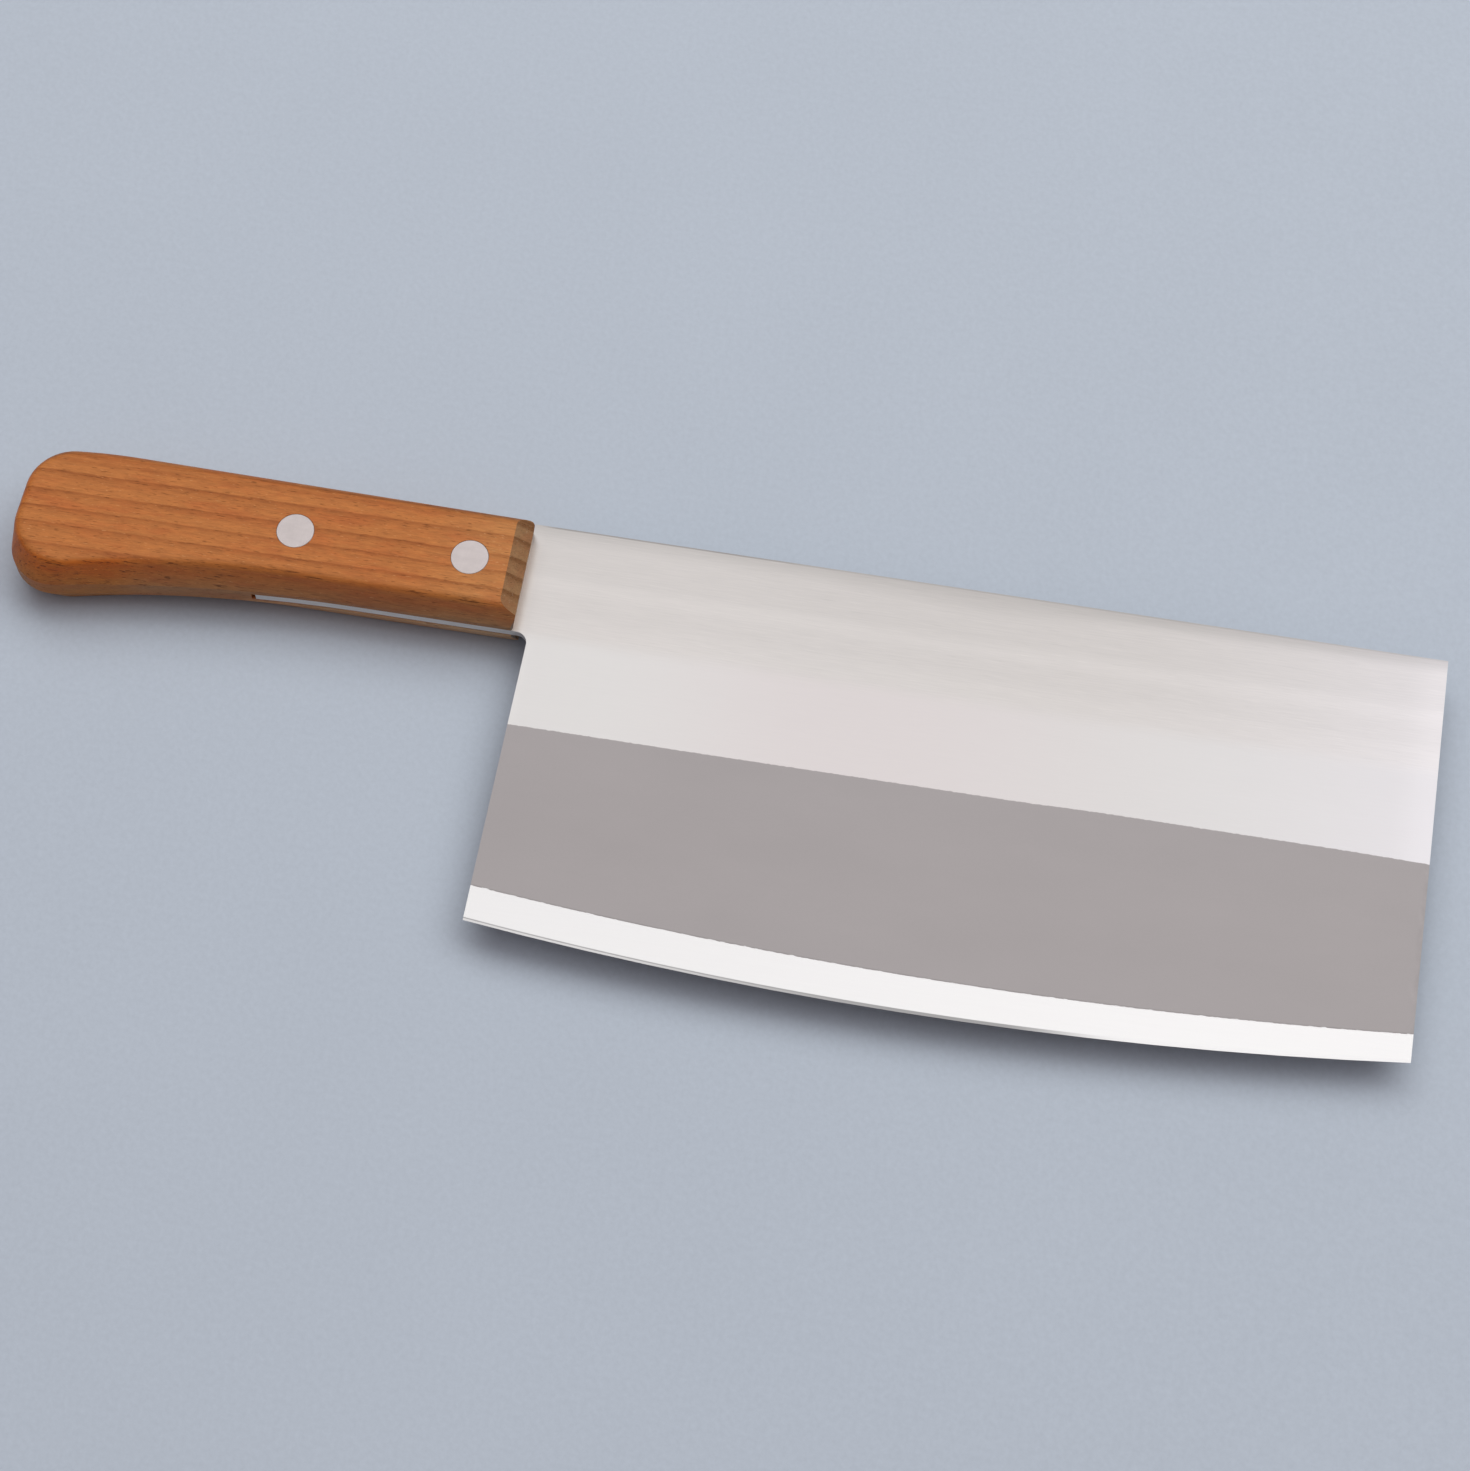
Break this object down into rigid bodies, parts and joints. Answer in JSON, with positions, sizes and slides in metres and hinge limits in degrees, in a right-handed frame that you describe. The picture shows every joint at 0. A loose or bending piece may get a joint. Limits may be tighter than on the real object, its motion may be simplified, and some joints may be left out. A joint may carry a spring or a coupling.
{
  "type": "chinese cleaver",
  "caption": "Wide rectangular kitchen cleaver with a laminated steel blade, a gently curved bright edge and a one-piece wooden handle riveted over a slotted tang.",
  "frame": {"origin": "under the middle of the whole cleaver's box, in the plane of the handle's left side", "axes": "+X from the handle to the toe along the spine, +Y from the cutting edge to the spine, +Z through the thickness, out of the knife's right side; it lies on its left side"},
  "size_m": [0.3488, 0.1108, 0.019],
  "materials": {
    "core_steel": "bright, fine polish along the edge",
    "cladding_steel": "brushed above the ridge, matt grey below it",
    "handle_wood": "reddish brown hardwood, satin lacquer",
    "rivet_steel": "satin, ground flush"
  },
  "bodies": {
    "root": {"blade_core": "core_steel", "right_cladding": "cladding_steel", "left_cladding": "cladding_steel", "handle": "handle_wood", "front_rivet_pin": "rivet_steel", "front_rivet_tube": "rivet_steel", "rear_rivet_pin": "rivet_steel", "rear_rivet_tube": "rivet_steel"}
  },
  "joints": []
}
